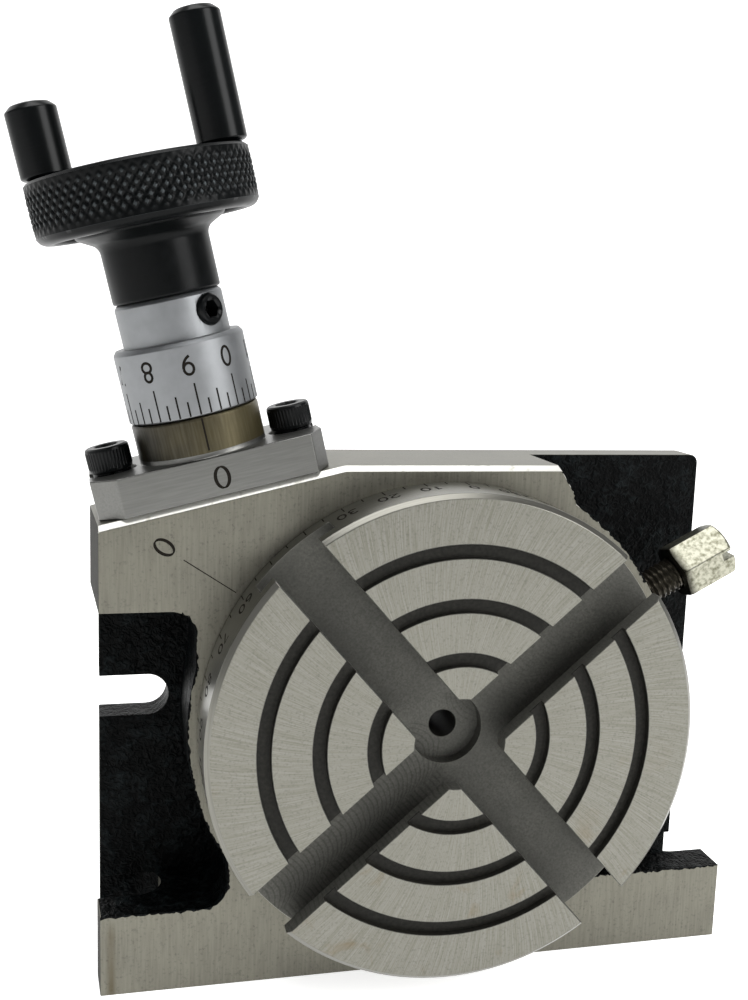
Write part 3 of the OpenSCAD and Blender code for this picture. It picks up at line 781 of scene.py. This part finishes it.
finish_node(turned_bronze, "worm_wheel", "table_thrust_washer", "worm_thrust_washer", "lock_pad")
finish_node(
    turned_steel, "worm_wheel_dowels", "retaining_plate", "worm_shaft", "worm_thrust_nut", "handwheel_key",
)
finish_node(black_oxide, "worm_wheel_screws", "retaining_plate_screws", "thrust_nut_grub_screw")


# ---- Worm bush ----
# Steel flange, surface ground, with a turned barrel that the dial reads against. The barrel is brown
# with old oil, with painted shade on its left and a painted gold reflection on its right. Two cap screws
# with spring washers hold the flange to the body.
worm_joint = joints["worm_spin"]
worm_along = Vector(worm_joint["axis"])
on_worm = seat_at(Vector(worm_joint["pos_m"]), worm_along, (worm_along.z, 0, -worm_along.x))

# Ground flange: mid grey, with fine lines along its length.
ground_flange, surface, mm = finish_named("mild steel, surface ground", 0.9, 0.36)
flange_place = put(
    ground_flange, "ShaderNodeMapping", {"Vector": mm, "Scale": (1 / 5, 1 / 0.3, 1 / 0.3)}
)
flange_lines = put(
    ground_flange, "ShaderNodeTexNoise",
    {"Vector": flange_place.outputs["Vector"], "Scale": 1, "Detail": 3},
)
flange_tone = put(
    ground_flange, "ShaderNodeMix",
    {0: flange_lines.outputs["Fac"], 6: linear("#5e5e5b"), 7: linear("#757572")}, data_type="RGBA",
)
feed(surface, Base_Color=flange_tone.outputs[2])
bump = put(
    ground_flange, "ShaderNodeBump",
    {"Height": flange_lines.outputs["Fac"], "Strength": 0.3, "Distance": 0.00004},
)
feed(surface, Normal=bump.outputs["Normal"])

# Oiled barrel: a cloudy brown film over the turned steel, with painted shade darkening its left and a
# painted reflection lightening it towards the right.
oiled_barrel, surface, mm = finish_named("mild steel, turned, old oil film", 0.6, 0.4)
split = put(oiled_barrel, "ShaderNodeSeparateXYZ", {"Vector": mm})
film = put(oiled_barrel, "ShaderNodeTexNoise", {"Vector": mm, "Scale": 1 / 3.5, "Detail": 4})
axial = put(oiled_barrel, "ShaderNodeMapping", {"Vector": mm, "Scale": (1 / 0.35, 1 / 0.35, 1 / 6)})
brushed = put(
    oiled_barrel, "ShaderNodeTexNoise",
    {"Vector": axial.outputs["Vector"], "Scale": 1, "Detail": 2},
)
# Painted shade and reflection: from left to right across the barrel the colour runs from near black to
# light gold.
side = put(
    oiled_barrel, "ShaderNodeMapRange",
    {"Value": split.outputs["X"], "From Min": -8.0, "From Max": 8.0, "To Min": -0.1, "To Max": 0.8},
)
film_part = put(oiled_barrel, "ShaderNodeMath", {0: film.outputs["Fac"], 1: 0.5}, operation="MULTIPLY")
film_and_shade = put(
    oiled_barrel, "ShaderNodeMath",
    {0: side.outputs["Result"], 1: film_part.outputs[0]}, operation="ADD",
)
film_and_shade_tone = put(
    oiled_barrel, "ShaderNodeMix",
    {0: film_and_shade.outputs[0], 6: linear("#0b0a06"), 7: linear("#4a432b")}, data_type="RGBA",
)
brushed_amount = put(
    oiled_barrel, "ShaderNodeMapRange",
    {"Value": brushed.outputs["Fac"], "From Min": 0.4, "From Max": 0.7, "To Max": 0.035},
)
brushed_tone = put(
    oiled_barrel, "ShaderNodeMix",
    {0: brushed_amount.outputs["Result"], 6: film_and_shade_tone.outputs[2], 7: linear("#c9c3ad")}, data_type="RGBA",
)
feed(surface, Base_Color=brushed_tone.outputs[2])

# The barrel's foot, just above the flange, takes the flange's lighter finish as a painted highlight.
flange_top, screw_u = 51.6, 14.8
bush = shape_of("worm_bush", on_worm)
ease_edges(bush, 0.22)
highlight_band_top = flange_top + 0.75
bmesh.ops.bisect_plane(
    bush, geom=bush.verts[:] + bush.edges[:] + bush.faces[:], plane_co=(0, 0, highlight_band_top), plane_no=(0, 0, 1)
)
for face in bush.faces:
    c = face.calc_center_median()
    face.material_index = 1 if c.z > highlight_band_top and 6 < math.hypot(c.x, c.y) < 10.6 else 0
bush_finishes = [ground_flange, oiled_barrel]
make_piece(bush, "worm_bush_flange", on_worm, bush_finishes, "base", ["worm_bush"])

bush_marks = bmesh.new()
flange_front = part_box("worm_bush")[0].y * 1000
barrel_r = 10.2


def on_flange(u, v, lift):
    """Lays marks on the flange's front."""
    return (1.2 + u, flange_front - lift, 48.2 + v)


def round_axis(radius, start, z0, flip=1):
    """Lays marks round the worm axis; angles run from the right towards the viewer."""

    def wrap(u, v, lift):
        a = math.radians(start) + u / radius
        return ((radius + lift) * math.cos(a), -(radius + lift) * math.sin(a), z0 + flip * v)

    return wrap


cut_stroke(bush_marks, arc(0, 0, 1.05, 1.65, 0, 360, 40)[:-1], 0.55, on_flange, thin=0.45, closed=True)
cut_stroke(bush_marks, [(0, 0), (0, 5.1)], 0.3, round_axis(barrel_r, 89, 52.7))
make_piece(bush_marks, "bush_index_marks", on_worm, [scale_black], "base")


def stack(bm, rings, segments=96, material=0, closed=False):
    """Skins rings of (radius or function of angle, height) about Z."""
    loops = []
    for radius, z in rings:
        if radius == 0:
            loops.append([bm.verts.new((0, 0, z))] * segments)
            continue
        loop = []
        for k in range(segments):
            a = 2 * math.pi * k / segments
            r = radius(a) if callable(radius) else radius
            loop.append(bm.verts.new((r * math.cos(a), r * math.sin(a), z)))
        loops.append(loop)
    if closed:
        loops.append(loops[0])
    for low, high in zip(loops, loops[1:]):
        for k in range(segments):
            j = (k + 1) % segments
            corners = [low[k], low[j], high[j], high[k]]
            corners = [c for n, c in enumerate(corners) if c not in corners[:n]]
            bm.faces.new(corners).material_index = material


def hexagon(across):
    """Radius of a hexagon, by its width across flats, at any angle."""
    third = math.pi / 3
    return lambda a: across / 2 / math.cos((a + third / 2) % third - third / 2)


# Socket-head cap screws: cold-headed, the head's side knurled straight, the rim chamfered.
head_r, head_h, head_s = 3.5, 4.0, flange_top + 0.2
socket = hexagon(3.0)


def straight_knurl(a):
    """Radius round a screw's head, with forty shallow grooves."""
    return head_r - 0.07 - 0.07 * math.cos(40 * a)


screw_profile = [
    (0, -16), (1.6, -16), (2.0, -15.6), (2.0, 0), (head_r - 0.35, 0), (head_r - 0.12, 0.15),
    (head_r - 0.05, 0.6), (straight_knurl, 0.75), (straight_knurl, head_h - 0.75),
    (head_r - 0.02, head_h - 0.55), (head_r - 0.1, head_h - 0.2), (head_r - 0.4, head_h),
    (2.05, head_h), (socket, head_h - 0.35), (socket, head_h - 2.2), (0, head_h - 2.6),
]
screws = bmesh.new()
for u in (-screw_u, screw_u):
    screw = bmesh.new()
    stack(screw, screw_profile, segments=240)
    bmesh.ops.translate(screw, verts=screw.verts, vec=(u, 0, head_s))
    part = bpy.data.meshes.new("screw_part")
    screw.to_mesh(part)
    screws.from_mesh(part)
    screw.free()
make_piece(
    screws, "bush_cap_screws", on_worm, [black_oxide], "base", ["worm_bush_screws"],
)

# Spring washers: square wire coiled one turn and cut, its ends sprung a little apart.
washers = bmesh.new()
wire = ((2.1, 0), (3.05, 0), (3.05, 0.78), (2.1, 0.78))
for u in (-screw_u, screw_u):
    rows = []
    for k in range(61):
        a = math.radians(-84 + 348 * k / 60)
        z = flange_top - 0.7 + 0.12 * k / 60
        rows.append([washers.verts.new((u + r * math.cos(a), r * math.sin(a), z + h)) for r, h in wire])
    for a, b in zip(rows, rows[1:]):
        for k in range(4):
            washers.faces.new((a[k], a[(k + 1) % 4], b[(k + 1) % 4], b[k]))
    washers.faces.new(rows[0][::-1])
    washers.faces.new(rows[-1])
bmesh.ops.recalc_face_normals(washers, faces=washers.faces)
make_piece(
    washers, "bush_spring_washers", on_worm, [black_oxide], "base",
    ["worm_bush_spring_washers"],
)


# ---- Dial ----
# Satin-chromed steel collar that slips on the worm shaft and is fixed by a set screw, so that it can be
# zeroed. Forty lines in three lengths, with a figure at every fourth.
satin_chrome, surface, mm = finish_named("steel, satin chrome plated", 1.0, 0.3)
ring_place = put(satin_chrome, "ShaderNodeMapping", {"Vector": mm, "Scale": (1 / 10, 1 / 10, 1 / 0.18)})
ring_lines = put(
    satin_chrome, "ShaderNodeTexNoise",
    {"Vector": ring_place.outputs["Vector"], "Scale": 1, "Detail": 2},
)
haze = put(satin_chrome, "ShaderNodeTexNoise", {"Vector": mm, "Scale": 1 / 2.5, "Detail": 4})
chrome_tone = put(
    satin_chrome, "ShaderNodeMix",
    {0: haze.outputs["Fac"], 6: linear("#757778"), 7: linear("#8d8f91")}, data_type="RGBA",
)
feed(surface, Base_Color=chrome_tone.outputs[2])
rough = put(
    satin_chrome, "ShaderNodeMapRange",
    {"Value": haze.outputs["Fac"], "To Min": 0.38, "To Max": 0.54},
)
feed(surface, Roughness=rough.outputs["Result"])
bump = put(
    satin_chrome, "ShaderNodeBump",
    {"Height": ring_lines.outputs["Fac"], "Strength": 0.25, "Distance": 0.00003},
)
feed(surface, Normal=bump.outputs["Normal"])

dial = shape_of("graduated_dial", on_worm)
ease_edges(dial, 0.1)
make_piece(dial, "dial_collar", on_worm, [satin_chrome], "dial", ["graduated_dial"])

dial_marks = bmesh.new()
dial_r, dial_low = 10.35, 58.35
for k in range(40):
    length = 4.9 if k % 4 == 0 else (3.4 if k % 2 == 0 else 2.3)
    cut_stroke(dial_marks, [(0, 0), (0, length)], 0.27, round_axis(dial_r, 52.5 + 9 * k, dial_low))
    if k % 4 == 0:
        figure = str((10 - k // 4) % 10)
        cut_figures(dial_marks, figure, 2.9, 0.42, round_axis(dial_r, 54 + 9 * k, 66.1, -1))
make_piece(dial_marks, "dial_figures", on_worm, [scale_black], "dial")

# Set screw: black cup-point grub screw with a hexagon socket, standing a little proud of the collar.
facing_out = Matrix.Rotation(math.radians(90), 4, "Y")
screw_turn = Matrix.Rotation(math.radians(-50), 4, "Z") @ Matrix.Translation((0, 0, 0.0734)) @ facing_out
set_screw = bmesh.new()
stack(
    set_screw,
    [(0, 4.1), (1.6, 4.1), (2.0, 4.3), (2.48, 5.0), (2.48, 8.6), (2.3, 9.0), (2.1, 9.14), (1.65, 9.14),
     (hexagon(2.5), 8.9), (hexagon(2.5), 6.6), (0, 6.3)],
    segments=72,
)
make_piece(
    set_screw, "dial_lock_screw", on_worm @ screw_turn, [black_oxide], "dial",
    ["dial_set_screw"],
)


# ---- Handwheel ----
# Turned steel, blackened to a half gloss: hub, cone and rim in one piece, the rim diamond-knurled with
# slightly worn crests, their lighter grey also a painted glint. A key and a socket screw with a washer
# hold it on the shaft.
knurl_r, knurl_low, knurl_high = 17.45, 88.6, 96.3
blackened, surface, mm = finish_named(
    "steel, blackened and waxed", 0.0, 0.3, Specular_IOR_Level=0.1
)
black_noise = put(blackened, "ShaderNodeTexNoise", {"Vector": mm, "Scale": 1 / 1.8, "Detail": 4})
black_tone = put(
    blackened, "ShaderNodeMix",
    {0: black_noise.outputs["Fac"], 6: linear("#020303"), 7: linear("#090b0c")}, data_type="RGBA",
)
flat = put(blackened, "ShaderNodeVectorMath", {0: mm, 1: (1, 1, 0)}, operation="MULTIPLY")
radius = put(blackened, "ShaderNodeVectorMath", {0: flat.outputs["Vector"]}, operation="LENGTH")
# The knurl's crests turn lighter grey and half metallic: partly worn steel, partly a painted glint.
crest_wear_and_glint = put(
    blackened, "ShaderNodeMapRange",
    {"Value": radius.outputs["Value"], "From Min": knurl_r - 0.09, "From Max": knurl_r, "To Max": 0.5},
)
worn_and_glint_tone = put(
    blackened, "ShaderNodeMix",
    {0: crest_wear_and_glint.outputs["Result"], 6: black_tone.outputs[2], 7: linear("#565b5d")}, data_type="RGBA",
)
feed(surface, Base_Color=worn_and_glint_tone.outputs[2])
feed(surface, Metallic=crest_wear_and_glint.outputs["Result"])
rough = put(
    blackened, "ShaderNodeMapRange",
    {"Value": black_noise.outputs["Fac"], "To Min": 0.24, "To Max": 0.42},
)
feed(surface, Roughness=rough.outputs["Result"])


def rounded(corners, ease, steps=3):
    """Rounds a turned profile's corners by a length in millimetres."""
    out = [corners[0]]
    for before, here, after in zip(corners, corners[1:], corners[2:]):
        p, q, r = Vector(before), Vector(here), Vector(after)
        d = min(ease, (p - q).length * 0.45, (r - q).length * 0.45)
        a, b = q + (p - q).normalized() * d, q + (r - q).normalized() * d
        for k in range(steps + 1):
            t = k / steps
            v = a * (1 - t) ** 2 + q * 2 * t * (1 - t) + b * t * t
            out.append((v.x, v.y))
    return out + [corners[-1]]


diamonds, diamond_h, knurl_depth = 66, 1.9, 0.42


def knurled(z, fade):
    """Radius round the rim at one height, with two crossing sets of grooves."""

    def radius_at(a):
        u = diamonds * a / (2 * math.pi) + z / diamond_h
        v = diamonds * a / (2 * math.pi) - z / diamond_h
        ridge = min(1 - abs(2 * (u % 1) - 1), 1 - abs(2 * (v % 1) - 1))
        plain = 0.12 * (1 - fade)
        return knurl_r - plain - knurl_depth * fade * (1 - min(ridge / 0.62, 1))

    return radius_at


rim_top = 96.8
wheel = bmesh.new()
hub_and_cone = [
    (4.0, 76.56), (8.5, 76.56), (8.5, 85.0), (9.0, 85.9), (11.5, 87.2), (11.8, 87.7), (11.8, 89.4),
    (14.6, 89.4), (14.8, 87.6), (15.4, 87.3), (16.2, 87.4), (16.9, 87.8), (17.4, 88.6), (17.4, knurl_low),
]
under = rounded(hub_and_cone, 0.45)
knurl_steps = 30
band = []
for k in range(knurl_steps + 1):
    z = knurl_low + (knurl_high - knurl_low) * k / knurl_steps
    fade = min(1, 4 * k / knurl_steps, 4 * (knurl_steps - k) / knurl_steps)
    band.append((knurled(z, fade), z))
face_and_recess = [
    (17.4, knurl_high), (16.9, rim_top), (9.2, rim_top), (7.2, 92.3), (4.0, 92.3), (4.0, 91.0),
]
over = rounded(face_and_recess, 0.25)
stack(wheel, under + band + over + [(4.0, 77.5)], segments=diamonds * 7, closed=True)
bmesh.ops.recalc_face_normals(wheel, faces=wheel.faces)
make_piece(
    wheel, "knurled_handwheel", on_worm, [blackened], "worm", ["handwheel"], smooth=40,
)
finish_node(black_oxide, "handwheel_washer", "handwheel_screw")


# ---- Handles ----
# Two turned steel handles, blackened like the wheel: a long one for turning and a short one opposite
# for balance. Each has a waisted neck and a chamfered, slightly domed end, and screws into the rim.
handle_black, surface, mm = finish_named(
    "steel, blackened and turned", 0.0, 0.26, Specular_IOR_Level=0.14
)
tool_place = put(handle_black, "ShaderNodeMapping", {"Vector": mm, "Scale": (1 / 6, 1 / 6, 1 / 0.3)})
tool_lines = put(
    handle_black, "ShaderNodeTexNoise",
    {"Vector": tool_place.outputs["Vector"], "Scale": 1, "Detail": 3},
)
handle_tone = put(
    handle_black, "ShaderNodeMix",
    {0: tool_lines.outputs["Fac"], 6: linear("#020303"), 7: linear("#090c0d")}, data_type="RGBA",
)
feed(surface, Base_Color=handle_tone.outputs[2])
bump = put(
    handle_black, "ShaderNodeBump",
    {"Height": tool_lines.outputs["Fac"], "Strength": 0.2, "Distance": 0.00004},
)
feed(surface, Normal=bump.outputs["Normal"])

on_rim_face = Matrix.Translation((0.0136, 0, rim_top / 1000))
for node, name, turn, length in (
    ("long_handle", "turning_handle", -8, 20.8),
    ("short_handle", "balance_handle", 172, 11.9),
):
    handle = bmesh.new()
    corners = [
        (0, -4.7), (2.4, -4.7), (2.4, 0.0), (3.0, 0.03), (3.0, 0.5), (3.5, 0.52), (3.95, 0.9),
        (3.95, length - 1.2), (3.0, length - 0.35), (1.6, length - 0.06), (0, length),
    ]
    stack(handle, rounded(corners, 0.18))
    bmesh.ops.recalc_face_normals(handle, faces=handle.faces)
    place = on_worm @ Matrix.Rotation(math.radians(turn), 4, "Z") @ on_rim_face
    make_piece(handle, name, place, [handle_black], "worm", [node])


# ---- Table lock ----
# Zinc-plated hexagon screw with a slot across its end, dulled and spotted with oil. Its thread runs
# into the boss and presses a brass slug against the table's hub.
lock_joint = joints["lock_turn"]
outward = -Vector(lock_joint["axis"])
lock_foot = Vector(lock_joint["pos_m"]) - outward * 0.045
on_lock = seat_at(lock_foot, outward, (0, 1, 0))

# Dull zinc: yellowish grey with darker spots, and near black where the head meets the thread as painted
# shade on the head's unlit underside.
dull_zinc, surface, mm = finish_named("mild steel, dulled zinc plate", 0.95, 0.34)
spots = put(dull_zinc, "ShaderNodeTexNoise", {"Vector": mm, "Scale": 1 / 0.8, "Detail": 6})
spot_mask = put(
    dull_zinc, "ShaderNodeMapRange",
    {"Value": spots.outputs["Fac"], "From Min": 0.42, "From Max": 0.66, "To Max": 0.9},
)
zinc_tone = put(
    dull_zinc, "ShaderNodeMix",
    {0: spot_mask.outputs["Result"], 6: linear("#a3a293"), 7: linear("#5c5b49")}, data_type="RGBA",
)
split = put(dull_zinc, "ShaderNodeSeparateXYZ", {"Vector": mm})
# Painted shade: the head's lower end goes near black towards the thread.
root_painted_shade = put(
    dull_zinc, "ShaderNodeMapRange",
    {"Value": split.outputs["Z"], "From Min": 50.6, "From Max": 49.2, "To Max": 0.9},
)
root_shaded = put(
    dull_zinc, "ShaderNodeMix",
    {0: root_painted_shade.outputs["Result"], 6: zinc_tone.outputs[2], 7: linear("#26241f")},
    data_type="RGBA",
)
feed(surface, Base_Color=root_shaded.outputs[2])
bump = put(
    dull_zinc, "ShaderNodeBump",
    {"Height": spots.outputs["Fac"], "Strength": 0.3, "Distance": 0.0001},
)
feed(surface, Normal=bump.outputs["Normal"])

# Oily thread: dark, with brown oil in its roots.
oily_thread, surface, mm = finish_named("mild steel, oily thread", 0.8, 0.3)
thread_noise = put(oily_thread, "ShaderNodeTexNoise", {"Vector": mm, "Scale": 1 / 0.8, "Detail": 3})
thread_tone = put(
    oily_thread, "ShaderNodeMix",
    {0: thread_noise.outputs["Fac"], 6: linear("#1c1a16"), 7: linear("#5b564b")}, data_type="RGBA",
)
feed(surface, Base_Color=thread_tone.outputs[2])

# The head keeps the CAD shape, and the plain shank under it is replaced by a threaded one.
lock = shape_of("lock_screw", on_lock)
head_root, thread_start = 48.9, 41.0
plain_shank = [f for f in lock.faces if f.calc_center_median().z < head_root - 0.05]
bmesh.ops.delete(lock, geom=plain_shank, context="FACES")
ease_edges(lock, 0.22)
pitch = 1.0


def threaded(z):
    """Radius round an M6 thread at one height."""
    return lambda a: 2.98 - 0.5 * abs(2 * ((z / pitch - a / (2 * math.pi)) % 1) - 1)


steps = int((head_root - thread_start) / (pitch / 10))
shank = [(0, 30.5), (2.0, 30.5), (2.6, 31.0), (2.6, 40.5)]
for k in range(steps):
    z = thread_start + k * pitch / 10
    shank.append((threaded(z), z))
shank += [(2.6, head_root - 0.1), (2.6, head_root + 0.3), (0, head_root + 0.3)]
stack(lock, shank, segments=72, material=1)
bmesh.ops.recalc_face_normals(lock, faces=lock.faces)
make_piece(
    lock, "table_lock_screw", on_lock, [dull_zinc, oily_thread], "lock_screw", ["lock_screw"],
)
